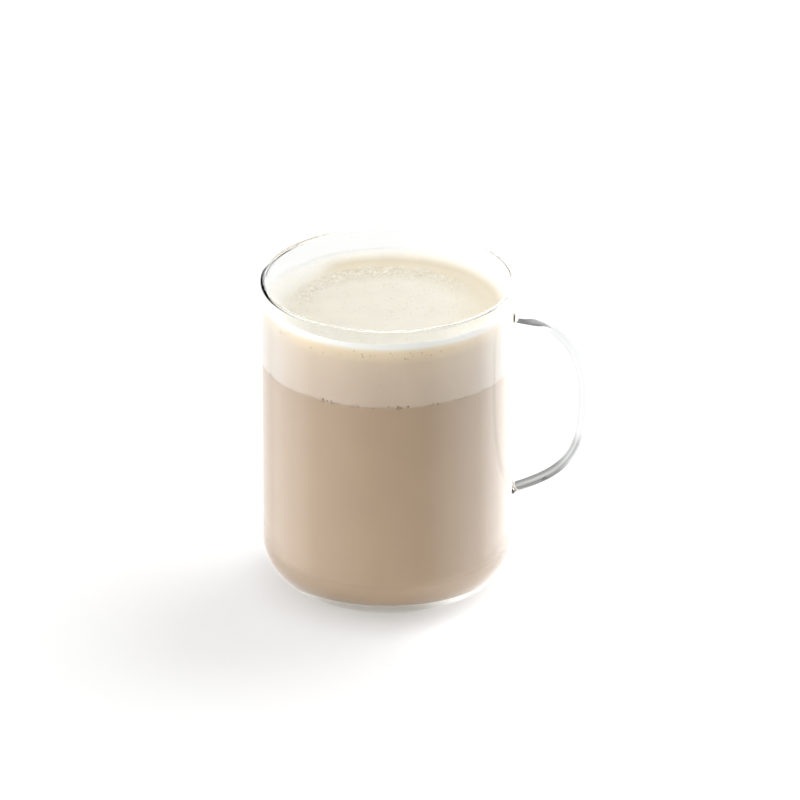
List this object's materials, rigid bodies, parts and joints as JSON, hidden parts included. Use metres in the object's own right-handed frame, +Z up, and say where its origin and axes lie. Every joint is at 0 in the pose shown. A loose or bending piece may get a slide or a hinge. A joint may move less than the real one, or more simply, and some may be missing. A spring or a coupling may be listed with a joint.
{
  "type": "masala chai in a glass mug",
  "caption": "Milky spiced tea under a deep, finely bubbled milk foam, served in a straight clear glass mug with a thin looped glass handle.",
  "frame": {"origin": "centre of the mug's flat base, on the mug's axis, where it stands", "axes": "+Z up along the mug's axis, +X towards the handle, +Y across the handle"},
  "size_m": [0.104, 0.08, 0.103],
  "materials": {
    "glass": "clear polished borosilicate glass",
    "chai": "opaque milky spiced tea, smooth and wet",
    "foam": "pale cream milk foam with fine bubbles"
  },
  "bodies": {
    "root": {"mug": "glass", "chai": "chai", "foam": "foam"}
  },
  "joints": []
}
